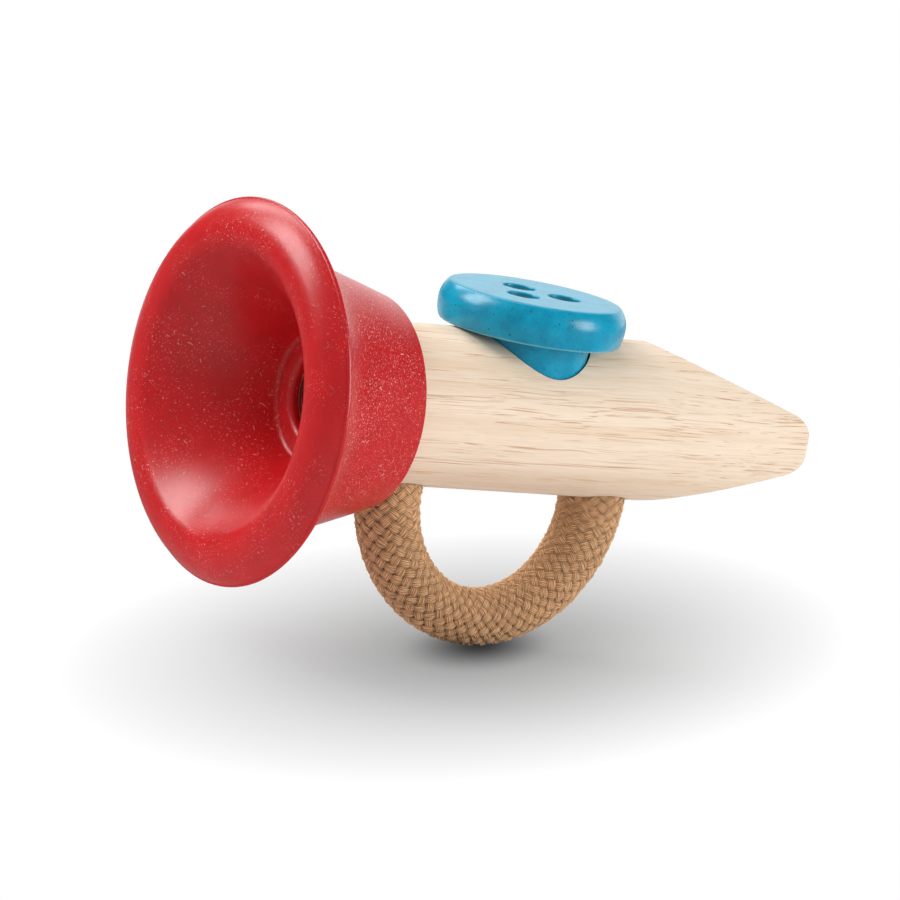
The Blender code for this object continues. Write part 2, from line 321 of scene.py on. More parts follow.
def cottonBraid():
    material, add = newMaterial("tanCottonBraid")
    height = add("Attribute", attribute_name="strandHeight").outputs["Fac"]
    place = add("TexCoord")
    yarnCount = rope["strandsEachWay"] * rope["yarnsInStrand"]
    lay = add("Mapping", {"Vector": place.outputs["UV"], "Scale": (10.0, yarnCount, 1.0)})
    # across a strand the second coordinate counts its yarns, with a groove at each whole number
    yarn = add("SeparateXYZ", (lay,)).outputs["Y"]
    ridge = add("Math", (yarn,), operation="FRACT")
    ridge = add("Math", (ridge, 0.5), operation="SUBTRACT")
    ridge = add("Math", (ridge,), operation="ABSOLUTE")
    groove = add("MapRange", (ridge, cotton["grooveFrom"], 0.5))
    # fluff in streaks along each yarn, and patches about 3 mm wide
    fluffLay = add("Mapping", {"Vector": lay, "Scale": (1.6, 2.6, 1.0)})
    fluff = add("TexNoise", {"Vector": fluffLay, "Scale": 1.0, "Detail": 3.0})
    patches = add("TexNoise", {"Vector": place.outputs["Object"], "Scale": 300.0, "Detail": 4.0})
    colour = add("ValToRGB", (height,))
    # painted shade: the colour darkens from each strand's crest down into the hollows between strands
    hollow, crest = colour.color_ramp.elements
    hollow.position, hollow.color = cotton["hollowTo"], linear(cotton["hollow"])
    crest.position, crest.color = cotton["crestFrom"], linear(cotton["crest"])
    # patches and fluff are the cotton's own tone, and the groove's tint is painted shade
    for pattern, name in ((patches, "patches"), (fluff, "fluff"), (groove, "groove")):
        low, high = cotton["tints"][name]
        tint = add("Mix", {"Factor": pattern, "A": low, "B": high}, **coloured)
        colour = add("Mix", {"Factor": 1.0, "A": colour, "B": tint}, blend_type="MULTIPLY", **coloured)
    relief = add("Math", (fluff, groove), operation="SUBTRACT")
    bump = add("Bump", {"Height": relief, "Strength": 0.7, "Distance": 0.00012})
    shader = add("BsdfPrincipled", {
        "Base Color": colour, "Roughness": cotton["roughness"], "Normal": bump,
        "Sheen Weight": cotton["sheen"], "Sheen Roughness": 0.4, "Sheen Tint": linear(cotton["sheenTint"]),
    })
    add("OutputMaterial", {"Surface": shader})
    return material


braid = cottonBraid()
strandsRight = addStrands("ropeStrandsRight", 1)
strandsLeft = addStrands("ropeStrandsLeft", -1)
filler = addFiller()
# the filler has no strand height, so it takes the painted shade colour of the hollows
for piece in (strandsRight, strandsLeft, filler):
    wear(piece, braid)
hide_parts("rope_cover")
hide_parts("rope_core")
ropeRoute, ropeLength = ropeCentreline(rope["pathSpacing"])
print("rope handle plaited,", round(ropeLength, 1), "mm")


# Modelling by hand: everything is deselected first, and a shape is worked on in edit mode
def startPiece(name):
    piece = bpy.context.object
    piece.name = name
    piece.data.name = name
    bpy.ops.object.transform_apply(location=True, rotation=True, scale=True)
    return piece


def pickOnly(piece):
    bpy.ops.object.select_all(action="DESELECT")
    piece.select_set(True)
    bpy.context.view_layer.objects.active = piece


def closeUp(piece, fillEnds=False):
    # open ends are filled if asked, points that meet are merged, and all faces turned outwards
    pickOnly(piece)
    bpy.ops.object.mode_set(mode="EDIT")
    bpy.ops.mesh.select_all(action="SELECT")
    if fillEnds:
        bpy.ops.mesh.fill_holes(sides=0)
    bpy.ops.mesh.remove_doubles(threshold=0.001 * mm)
    bpy.ops.mesh.normals_make_consistent(inside=False)
    bpy.ops.object.mode_set(mode="OBJECT")


def finishPiece(piece, body, node, creaseDegrees=30):
    closeUp(piece)
    bpy.ops.object.shade_smooth_by_angle(angle=math.radians(creaseDegrees))
    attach(piece, body)
    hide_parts(node)
    print(piece.name, len(piece.data.polygons), "faces")
    return piece


def turnPiece(name, outline, sides, centre, axis, solid=False):
    # a ring is drawn out and resized from point to point of the outline, as on a lathe
    ahead = Vector((1, 0, 0)) if axis == "X" else Vector((0, 0, 1))
    tilt = (0, math.pi / 2, 0) if axis == "X" else (0, 0, 0)
    along, radius = outline[0]
    place = (Vector(centre) + ahead * along) * mm
    bpy.ops.object.select_all(action="DESELECT")
    bpy.ops.mesh.primitive_circle_add(vertices=sides, radius=radius * mm, location=place, rotation=tilt)
    piece = startPiece(name)
    bpy.ops.object.mode_set(mode="EDIT")
    bpy.ops.mesh.select_mode(type="EDGE")
    bpy.ops.mesh.select_all(action="SELECT")
    for (fromAlong, fromRadius), (toAlong, toRadius) in zip(outline, outline[1:]):
        step = ahead * (toAlong - fromAlong) * mm
        bpy.ops.mesh.extrude_edges_move(TRANSFORM_OT_translate={"value": step})
        size = toRadius / fromRadius
        scale = (1, size, size) if axis == "X" else (size, size, 1)
        bpy.ops.transform.resize(value=scale, center_override=(Vector(centre) + ahead * toAlong) * mm)
    bpy.ops.object.mode_set(mode="OBJECT")
    closeUp(piece, solid)
    return piece


def addDrill(diameter, start, end, sides):
    start, end = Vector(start), Vector(end)
    turn = (end - start).to_track_quat("Z", "Y").to_euler()
    bpy.ops.object.select_all(action="DESELECT")
    bpy.ops.mesh.primitive_cylinder_add(
        vertices=sides, radius=diameter / 2 * mm, depth=(end - start).length * mm,
        location=(start + end) / 2 * mm, rotation=turn,
    )
    return startPiece("drill")


def cutWith(piece, tool):
    pickOnly(piece)
    cut = piece.modifiers.new("cut", "BOOLEAN")
    cut.operation = "DIFFERENCE"
    cut.solver = "EXACT"
    cut.object = tool
    bpy.ops.object.modifier_apply(modifier="cut")
    bpy.data.objects.remove(tool, do_unlink=True)


def arcPoints(along, out, radiusAlong, radiusOut, start, end, steps):
    # angle 0 points along the axis and angle 90 points out from it
    points = []
    for step in range(steps + 1):
        angle = math.radians(start + (end - start) * step / steps)
        points.append((along + radiusAlong * math.cos(angle), out + radiusOut * math.sin(angle)))
    return points


def cubicPoints(first, firstHandle, lastHandle, last, steps):
    points = []
    for step in range(steps + 1):
        t = step / steps
        weights = ((1 - t) ** 3, 3 * t * (1 - t) ** 2, 3 * t * t * (1 - t), t**3)
        corners = (first, firstHandle, lastHandle, last)
        points.append(tuple(sum(w * c[i] for w, c in zip(weights, corners)) for i in (0, 1)))
    return points


# Horn: a turned bell with a rolled lip, a hollow bowl, a flat floor round its throat and a flared back
horn = {
    "front": -51.95,
    "length": 26.6,
    "diameter": 58.8,
    "socket": 25.6,
    "socketDepth": 7.6,
    "backDiameter": 33.4,
    "backRounding": 0.4,
    "throat": 13.3,
    "throatRounding": 1.1,
    "floor": 21.2,
    "floorDepth": 17.5,
    "floorRounding": 1.0,
    "bowlFootAngle": 68,        # between the bowl's wall and its floor
    "lipInnerAngle": 40,        # where the roll of the lip runs into the wall
    "bowlHandle": 0.33,
    "lipRoll": 4.0,
    "lipRollDiameter": 47.6,
    "rimDepth": 3.2,
    "rimWidth": 0.8,
    "rimRounding": 0.3,
    "flareHandles": ((0.19, 0.335), (0.31, 0.40)),
    "sides": 160,
}


def hornOutline():
    h = horn
    floorOut, throatOut = h["floor"] / 2, h["throat"] / 2
    r = h["throatRounding"]
    points = arcPoints(h["floorDepth"] + r, throatOut + r, r, r, 270, 180, 8)
    # the corner of the floor is hollowed, then the wall flares out like a bell's and runs into the lip
    r, steep = h["floorRounding"], math.radians(h["bowlFootAngle"])
    corner = (h["floorDepth"] - r, floorOut - r)
    points += arcPoints(corner[0], corner[1], r, r, 0, h["bowlFootAngle"], 8)
    foot = points[-1]
    rollOut, leave = h["lipRollDiameter"] / 2, math.radians(h["lipInnerAngle"])
    lip = arcPoints(h["lipRoll"], rollOut, h["lipRoll"], h["lipRoll"], 180 + h["lipInnerAngle"], 180, 12)
    reach = math.dist(foot, lip[0]) * h["bowlHandle"]
    footHandle = (foot[0] - reach * math.sin(steep), foot[1] + reach * math.cos(steep))
    lipHandle = (lip[0][0] + reach * math.sin(leave), lip[0][1] - reach * math.cos(leave))
    points += cubicPoints(foot, footHandle, lipHandle, lip[0], 24)[1:]
    # rolled lip, then the fuller curve out to the rim
    points += lip[1:]
    r = h["rimRounding"]
    rise = h["diameter"] / 2 - r - rollOut
    radius = (h["rimDepth"] ** 2 + rise**2) / (2 * h["rimDepth"])
    last = 180 - math.degrees(math.asin(rise / radius))
    points += arcPoints(radius, rollOut, radius, radius, 180, last, 14)[1:]
    # narrow band round the rim
    points += arcPoints(h["rimDepth"] + r, h["diameter"] / 2 - r, r, r, 150, 90, 3)
    back = h["rimDepth"] + h["rimWidth"]
    points += arcPoints(back - r, h["diameter"] / 2 - r, r, r, 90, 30, 3)
    # flared back, down to the back face and the socket for the dowel
    start, end = points[-1], (h["length"] - h["backRounding"], h["backDiameter"] / 2)
    run, drop = end[0] - start[0], start[1] - end[1]
    handles = [(start[0] + x * run, end[1] + y * drop) for x, y in h["flareHandles"]]
    points += cubicPoints(start, handles[0], handles[1], end, 28)[1:]
    r = h["backRounding"]
    points += arcPoints(end[0], end[1] - r, r, r, 90, 0, 4)[1:]
    socket = h["socket"] / 2
    points += arcPoints(h["length"] - r / 2, socket + r / 2, r / 2, r / 2, 0, -90, 3)
    bottom = h["length"] - h["socketDepth"]
    points += [(bottom, socket), (bottom, throatOut), points[0]]
    return points


def addHorn():
    piece = turnPiece("hornBell", hornOutline(), horn["sides"], (horn["front"], 0, axisHeight), "X")
    return finishPiece(piece, "instrument", "horn")


# Cap: a button with three sound holes, and below it a hollow boss that pushes into the body
cap = {
    "place": 2.75,
    "seat": 50.05,
    "diameter": 29.4,
    "thickness": 6.1,
    "flatDiameter": 26.8,
    "seatDiameter": 27.6,
    "widestShare": 0.5,
    "topEdgeRounding": 0.12,
    "boss": 19.5,
    "bossWall": 2.6,
    "bossFoot": 42.45,
    "bossEdge": 0.3,
    "bossFillet": 0.15,         # where it meets the button
    "roof": 4.2,
    "holeDiameter": 5.1,
    "holeCircle": 9.0,
    "holes": 3,
    "holeEdge": 0.25,
    "drillSpare": 0.5,          # how far the drill stands out of the top
    "drillFlare": 0.3,
    "sides": 160,
}


def capOutline():
    c = cap
    bossOut, ventOut = c["boss"] / 2, c["boss"] / 2 - c["bossWall"]
    roof, foot, e = c["thickness"] - c["roof"], c["bossFoot"] - c["seat"], c["bossEdge"]
    points = [(roof, ventOut), (foot + e, ventOut), (foot, ventOut + e)]
    points += [(foot, bossOut - e), (foot + e, bossOut)]
    points += [(-c["bossFillet"], bossOut), (0.0, bossOut + c["bossFillet"])]
    widest, middle = c["diameter"] / 2, c["thickness"] * c["widestShare"]
    seatOut, flatOut = c["seatDiameter"] / 2, c["flatDiameter"] / 2
    points += arcPoints(middle, seatOut, middle, widest - seatOut, 180, 90, 14)
    # above, the flat top cuts the round side before it has turned in, which leaves an edge that shows
    edge = 90 - 2 * math.degrees(math.atan2(widest - flatOut, c["thickness"] - middle))
    bulge = (c["thickness"] - middle) / math.cos(math.radians(edge))
    side = arcPoints(middle, widest - bulge, bulge, bulge, 90, edge, 16)[1:]
    before, corner, r = side[-2], side[-1], c["topEdgeRounding"]
    share = r / math.dist(before, corner)
    points += side[:-1]
    points.append(tuple(to + (come - to) * share for come, to in zip(before, corner)))
    points.append((corner[0], corner[1] - r))
    # inside this ring the flat top is closed by one face
    points.append((corner[0], corner[1] * 0.9))
    return points


def addCap():
    c = cap
    piece = turnPiece("buttonCap", capOutline(), c["sides"], (c["place"], 0, c["seat"]), "Z", solid=True)
    top, roof, e, r = c["thickness"], c["thickness"] - c["roof"], c["holeEdge"], c["holeDiameter"] / 2
    # a drill whose shank widens at the top, so that each hole's edge comes out rounded
    drill = [(roof - 2 * c["drillSpare"], r)] + arcPoints(top - e, r + e, e, -e, 90, 12, 5)
    drill.append((top + c["drillSpare"], r + e + c["drillFlare"]))
    for number in range(c["holes"]):
        turn = math.radians(90) + math.tau * number / c["holes"]
        x, y = c["place"] + c["holeCircle"] / 2 * math.cos(turn), c["holeCircle"] / 2 * math.sin(turn)
        cutWith(piece, turnPiece("drill", drill, 64, (x, y, c["seat"]), "Z", solid=True))
    return finishPiece(piece, "cap", "membrane_cap")


# Body: a dowel planed to a duck bill, bored through, with a chamber for the cap and two rope holes.
# Its flats start at nothing, where a bevel fails, so its outside is lofted from rings with soft corners.
body = {
    "radius": bodyRadius,
    "back": -32.65,
    "tipEnd": 51.95,
    "taperLength": 25.8,
    "tipHeight": 7.8,
    "tipRounding": 2.8,
    "tipSideRounding": 1.0,
    "sandedCorner": 0.7,
    "cornerShare": 0.6,         # the most that a corner takes of the half height
    "bore": 12.0,
    "boreEnd": 24.15,
    "inlet": 4.0,
    "inletEdge": 0.5,
    "chamber": 20.1,
    "chamberFloor": 40.35,
    "ropeHole": 11.2,
    "ropeHoleDepth": 5.0,
    "taperRings": 26,
    "tipRings": 9,
    "sideSteps": 18,
    "cornerSteps": 4,
    "flatSteps": 8,
}


def bodyRing(radius, halfHeight):
    # a quarter of the section: round side, sanded corner and flat, then mirrored to the other three
    corner = min(body["sandedCorner"], halfHeight * body["cornerShare"])
    cornerOut = math.sqrt(max(0.0, (radius - corner) ** 2 - (halfHeight - corner) ** 2))
    meet = math.atan2(halfHeight - corner, cornerOut)
    turn = math.degrees(meet)
    quarter = arcPoints(0, 0, radius, radius, 0, turn, body["sideSteps"])[:-1]
    quarter += arcPoints(cornerOut, halfHeight - corner, corner, corner, turn, 90, body["cornerSteps"])
    flat = body["flatSteps"]
    quarter += [(cornerOut * (1 - i / flat), halfHeight) for i in range(1, flat + 1)]
    ring = quarter + [(-y, z) for y, z in quarter[-2::-1]]
    return ring + [(y, -z) for y, z in ring[-2:0:-1]]


def bodyStations():
    b = body
    start = b["tipEnd"] - b["taperLength"]
    drop = b["radius"] - b["tipHeight"] / 2
    roundingStart = b["tipEnd"] - b["tipRounding"]

    def flatHeight(x):
        return b["radius"] - drop * (x - start) / b["taperLength"]

    # even steps of the angle at which a flat meets the side, since the flats widen fast at first
    lastAngle = math.asin(flatHeight(roundingStart) / b["radius"])
    stations = [(b["back"], b["radius"], b["radius"])]
    for step in range(b["taperRings"] + 1):
        height = b["radius"] * math.sin(math.pi / 2 + (lastAngle - math.pi / 2) * step / b["taperRings"])
        stations.append((start + (b["radius"] - height) * b["taperLength"] / drop, b["radius"], height))
    for step in range(1, b["tipRings"] + 1):
        into = b["tipRounding"] * math.sin(math.pi / 2 * step / b["tipRings"])
        x = roundingStart + into
        height = flatHeight(x) - b["tipRounding"] + math.sqrt(max(0.0, b["tipRounding"] ** 2 - into**2))
        r = b["tipSideRounding"]
        sideInto = max(0.0, x - (b["tipEnd"] - r))
        side = b["radius"] - r + math.sqrt(max(0.0, r**2 - sideInto**2))
        stations.append((x, side, height))
    return stations


def addBody():
    b = body
    points = []
    stations = bodyStations()
    for x, radius, halfHeight in stations:
        points += [(x * mm, y * mm, (axisHeight + z) * mm) for y, z in bodyRing(radius, halfHeight)]
    faces = ringFaces(0, len(stations), len(points) // len(stations))
    piece = shapeFromData("dowelBody", points, faces)
    closeUp(piece)

    spare = 2.0
    top, low = axisHeight + b["radius"] + spare, axisHeight - b["radius"]
    cutWith(piece, addDrill(b["bore"], (b["back"] - spare, 0, axisHeight), (b["boreEnd"], 0, axisHeight), 96))
    # the mouth hole is drilled from the tip with a countersunk drill
    out, e = b["inlet"] / 2, b["inletEdge"]
    drill = [(b["boreEnd"] - spare, out), (b["tipEnd"] - e, out), (b["tipEnd"] + spare, out + e + spare)]
    cutWith(piece, turnPiece("drill", drill, 64, (0, 0, axisHeight), "X", solid=True))
    cutWith(piece, addDrill(b["chamber"], (cap["place"], 0, b["chamberFloor"]), (cap["place"], 0, top), 128))
    for leg in (rope["firstLeg"], rope["firstLeg"] + rope["legSpacing"]):
        cutWith(piece, addDrill(b["ropeHole"], (leg, 0, low - spare), (leg, 0, low + b["ropeHoleDepth"]), 80))
    return finishPiece(piece, "instrument", "body")


hornBell = addHorn()
dowelBody = addBody()
buttonCap = addCap()
print("horn, body and cap shaped")


# Materials. Patterns are in mm, worked out from the object's own coordinates, so that a noise of scale 0.2
# has patches about 5 mm wide.
def inMillimetres(add, low=0.0, stretch=(1, 1, 1)):
    place = add("TexCoord").outputs["Object"]
    scale = tuple(1000 / s for s in stretch)
    return add("Mapping", {"Vector": place, "Location": (0, 0, -low / stretch[2]), "Scale": scale})


def woodFlecks(add, cell, length, width, share, shift):
    # short fibres that lie in the surface, one to a cell at most, each in its own direction; sizes in mm
    place = add("TexCoord")
    # the cells are turned askew, so that their rows don't line up with the surface
    askew = (0.6, 0.9, 0.1 * shift)
    normal = add("Mapping", {"Vector": place.outputs["Normal"], "Rotation": askew}, vector_type="NORMAL")
    scaled = add("Mapping", {
        "Vector": place.outputs["Object"], "Location": (shift,) * 3, "Rotation": askew,
        "Scale": (1000 / cell,) * 3,
    })
    cells = add("TexVoronoi", {"Vector": scaled, "Scale": 1.0})
    away = add("VectorMath", (scaled, cells.outputs["Position"]), operation="SUBTRACT")
    lie = add("VectorMath", (cells.outputs["Color"], (0.5, 0.5, 0.5)), operation="SUBTRACT")
    # both vectors are laid flat in the surface
    flat = []
    for vector in (away, lie):
        upward = add("VectorMath", (vector, normal), operation="PROJECT")
        flat.append(add("VectorMath", (vector, upward), operation="SUBTRACT"))
    away, lie = flat
    lie = add("VectorMath", (lie,), operation="NORMALIZE")
    # distance from the fibre's middle line
    reach = (length - width) / 2 / cell
    along = add("VectorMath", (away, lie), operation="DOT_PRODUCT")
    along = add("Math", (along, reach), operation="MINIMUM")
    along = add("Math", (along, -reach), operation="MAXIMUM")
    middle = add("VectorMath", {0: lie, "Scale": along}, operation="SCALE")
    gap = add("VectorMath", (away, middle), operation="DISTANCE")
    inner, outer = 0.3 * width / cell, 0.7 * width / cell
    drawn = add("MapRange", (gap, inner, outer, 1.0, 0.0), **smooth)
    # a share of the cells has one, from bright to faint
    chance = add("SeparateColor", (cells.outputs["Color"],)).outputs["Blue"]
    bright = add("MapRange", (chance, 0.0, share, 1.0, 0.0))
    return add("Math", (drawn, bright), operation="MULTIPLY")


# Red wood fibre, pressed and dyed right through: satin, with pale wood fibres showing at its surface
redFibre = {
    "base": "#bd1218",
    "deep": "#b51116",
    "fleck": "#f0a59c",
    # Cell, length and width of the flecks, share of cells that have one, and the pattern's shift. Real fibres
    # are some 0.03 mm wide, and are drawn wider here so that they show.
    "longFlecks": (2.9, 0.68, 0.15, 0.55, 3.1),
    "shortFlecks": (1.2, 0.34, 0.15, 0.55, 7.7),
    "dust": (0.6, 0.19, 0.15, 0.75, 1.3),
    "fineDust": (0.43, 0.20, 0.12, 0.65, 5.9),
    "dustShows": 0.7,
    "fineDustShows": (0.12, 0.6),       # in front, and on the flared back
    "flecksShow": (0.38, 1.0),          # in front, and on the flared back
    "patchesShow": (-0.38, 0.18),       # added to that, from patch to patch
    "roughness": (0.28, 0.35),
}


def redWoodFibre():
    look = redFibre
    material, add = newMaterial("redPressedWoodFibre")
    flat = inMillimetres(add)
    mottle = add("TexNoise", {"Vector": flat, "Scale": 0.22, "Detail": 6.0, "Roughness": 0.6})
    mottle = add("MapRange", (mottle, 0.35, 0.65), **smooth)
    # the flared back shows the most fibres
    place = add("TexCoord")
    facing = add("SeparateXYZ", (place.outputs["Normal"],)).outputs["X"]
    behind = add("MapRange", (facing, -0.2, 0.5, *look["flecksShow"]), **smooth)
    patches = add("TexNoise", {"Vector": flat, "Scale": 0.12, "Detail": 2.0})
    patches = add("MapRange", (patches, 0.38, 0.62, *look["patchesShow"]), **smooth)
    much = add("Math", (behind, patches), operation="ADD")
    dust = woodFlecks(add, *look["dust"])
    dust = add("Math", (dust, look["dustShows"]), operation="MULTIPLY")
    fine = woodFlecks(add, *look["fineDust"])
    fineShows = add("MapRange", (facing, -0.2, 0.4, *look["fineDustShows"]), **smooth)
    fine = add("Math", (fine, fineShows), operation="MULTIPLY")
    flecks = woodFlecks(add, *look["longFlecks"])
    for more in (woodFlecks(add, *look["shortFlecks"]), dust, fine):
        flecks = add("Math", (flecks, more), operation="MAXIMUM")
    shown = add("Math", (flecks, much), operation="MULTIPLY")
    colour = linear(look["deep"])
    for share, name in ((mottle, "base"), (shown, "fleck")):
        colour = add("Mix", {"Factor": share, "A": colour, "B": linear(look[name])}, **coloured)
    grainy = add("TexNoise", {"Vector": flat, "Scale": 3.5, "Detail": 3.0})
    height = add("Math", (grainy, 0.6, flecks), operation="MULTIPLY_ADD")
    bump = add("Bump", {"Height": height, "Strength": 0.45, "Distance": 0.00004})
    rough = add("MapRange", (grainy, 0.3, 0.7, *look["roughness"]), **smooth)
    shader = add("BsdfPrincipled", {
        "Base Color": colour, "Roughness": rough, "IOR": 1.5, "Normal": bump,
    })
    add("OutputMaterial", {"Surface": shader})
    return material


# Rubberwood, sanded and left bare: pale and matt, with brown pores that the cut turns into thin dashes
rubberwood = {
    "pale": "#ebd9c5",
    "band": "#e2ccb3",
    "fibre": "#d8bc9a",
    "pore": "#bd8551",
    "boreDarkRed": "#6e1a18",
    "sway": (0, 2.6, 2.6),      # how far the lines wander, in mm
    "pith": (0.0, 34.0, -9.0),  # middle of the growth rings, from the dowel's own middle
    "ringWidth": 1.7,
    "ringDrift": 2.6,           # in rings
    # Length and width of the streaks, the pattern's shift, and the noise from which and at which they show.
    # The pores are some 0.1 mm wide, and are drawn a little wider.
    "porous": (38.0, 2.4, 12.0, 0.50, 0.64),
    "thick": (38.0, 0.21, 0.0, 0.60, 0.655),
    "thin": (20.0, 0.15, 2.7, 0.60, 0.66),
    "dashes": (6.5, 0.19, 6.1, 0.64, 0.70),
    "dashesFrom": (16.0, 32.0),         # along the body
    "boreDarkRedFades": (-18.0, -10.0),       # and where the dark red in the bore ends
    "poresShow": 0.80,
    "roughness": 0.58,
}


def sandedRubberwood():
    look = rubberwood
    material, add = newMaterial("sandedRubberwood")
    place = inMillimetres(add, axisHeight)
    sway = add("TexNoise", {"Vector": place, "Scale": 0.024, "Detail": 2.0}).outputs["Color"]
    sway = add("VectorMath", (sway, (0.5, 0.5, 0.5)), operation="SUBTRACT")
    sway = add("VectorMath", (sway, look["sway"]), operation="MULTIPLY")
    wavy = add("VectorMath", (place, sway), operation="ADD")

    def stretched(length, width, shift, detail=2.0):
        # a noise drawn out along the dowel
        scale = (1 / length, 1 / width, 1 / width)
        lay = add("Mapping", {"Vector": wavy, "Location": (shift,) * 3, "Scale": scale})
        return add("TexNoise", {"Vector": lay, "Scale": 1.0, "Detail": detail})

    def streaks(length, width, shift, low, high):
        return add("MapRange", (stretched(length, width, shift), low, high), **smooth)

    # growth rings round a pith far behind the dowel, where pores lie close together
    far = add("VectorMath", (wavy, look["pith"]), operation="SUBTRACT")
    far = add("VectorMath", (far, (0.05, 1.0, 1.0)), operation="MULTIPLY")
    far = add("VectorMath", (far,), operation="LENGTH")
    ring = add("Math", (far, look["ringWidth"]), operation="DIVIDE")
    drift = stretched(80.0, 7.0, 5.0)
    ring = add("Math", (drift, look["ringDrift"], ring), operation="MULTIPLY_ADD")
    ring = add("Math", (ring,), operation="FRACT")
    ring = add("Math", (ring, 0.5), operation="SUBTRACT")
    ring = add("Math", (ring,), operation="ABSOLUTE")
    ring = add("MapRange", (ring, 0.02, 0.20, 1.0, 0.0), **smooth)
    clusters = add("Math", (ring, streaks(*look["porous"])), operation="MAXIMUM")
    thick = add("Math", (streaks(*look["thick"]), clusters), operation="MULTIPLY")
    thinShows = add("Math", (clusters, 0.5, 0.22), operation="MULTIPLY_ADD")
    thin = add("Math", (streaks(*look["thin"]), thinShows), operation="MULTIPLY")
    # the tapers cut across the pores, so they show as short dashes there
    along = add("SeparateXYZ", (place,)).outputs["X"]
    dashesShow = add("MapRange", (along, *look["dashesFrom"], 0.15, 0.9), **smooth)
    dashes = add("Math", (streaks(*look["dashes"]), dashesShow), operation="MULTIPLY")
    lines = add("Math", (thick, thin), operation="MAXIMUM")
    lines = add("Math", (lines, dashes), operation="MAXIMUM")
    bands = add("MapRange", (stretched(70.0, 3.4, 9.0, 3.0), 0.35, 0.68), **smooth)
    fibres = stretched(6.0, 0.16, 4.0, 3.0)
    fibresShow = add("MapRange", (fibres, 0.3, 0.7, 0.0, 0.30), **smooth)
    poresShow = add("Math", (lines, look["poresShow"]), operation="MULTIPLY")
    # the back end of the bore, seen through the throat, is coloured dark red
    out = add("VectorMath", (place, (0.0, 1.0, 1.0)), operation="MULTIPLY")
    out = add("VectorMath", (out,), operation="LENGTH")
    throat = horn["throat"] / 2
    inside = add("MapRange", (out, throat + 0.1, throat + 0.2, 1.0, 0.0), **smooth)
    near = add("MapRange", (along, *look["boreDarkRedFades"], 1.0, 0.0), **smooth)
    boreDarkRedShare = add("Math", (inside, near), operation="MULTIPLY")
    colour = linear(look["pale"])
    for share, name in ((bands, "band"), (fibresShow, "fibre"), (poresShow, "pore"), (boreDarkRedShare, "boreDarkRed")):
        colour = add("Mix", {"Factor": share, "A": colour, "B": linear(look[name])}, **coloured)
    height = add("Math", (fibres, 0.4), operation="MULTIPLY")
    height = add("Math", (height, lines), operation="SUBTRACT")
    bump = add("Bump", {"Height": height, "Strength": 0.5, "Distance": 0.00008})
    shader = add("BsdfPrincipled", {
        "Base Color": colour, "Roughness": look["roughness"], "Specular IOR Level": 0.3, "Normal": bump,
    })
    add("OutputMaterial", {"Surface": shader})
    return material


# Blue water paint on wood fibre: satin, thin enough to leave the fibre's small pits open, and their dark
# colour is painted shade
paint = {
    "base": "#0097b9",
    "deep": "#0089ab",
    "dark": "#0a4256",
    "bare": "#8a6341",
    "paintedPale": "#74b9c6",
    "flecks": (0.55, 0.2, 0.13, 0.5, 2.2),      # as on the horn, but dark
    "flecksShow": 0.45,
    "pitRadius": (0.12, 0.16),  # where a pit's edge starts and ends
    "pitShare": (0.10, 0.60),   # of the cells, from patch to patch
    "seatEdgeHighlight": (0.05, 0.40),   # above the seat, where a painted highlight lightens the button's lower edge
    "topEdge": (0.30, 0.05),    # below the flat top
    "paintedRim": (1.1, 0.4),   # below the flat top, inside the holes
    "roughness": 0.26,
    "topRougher": 0.06,
}


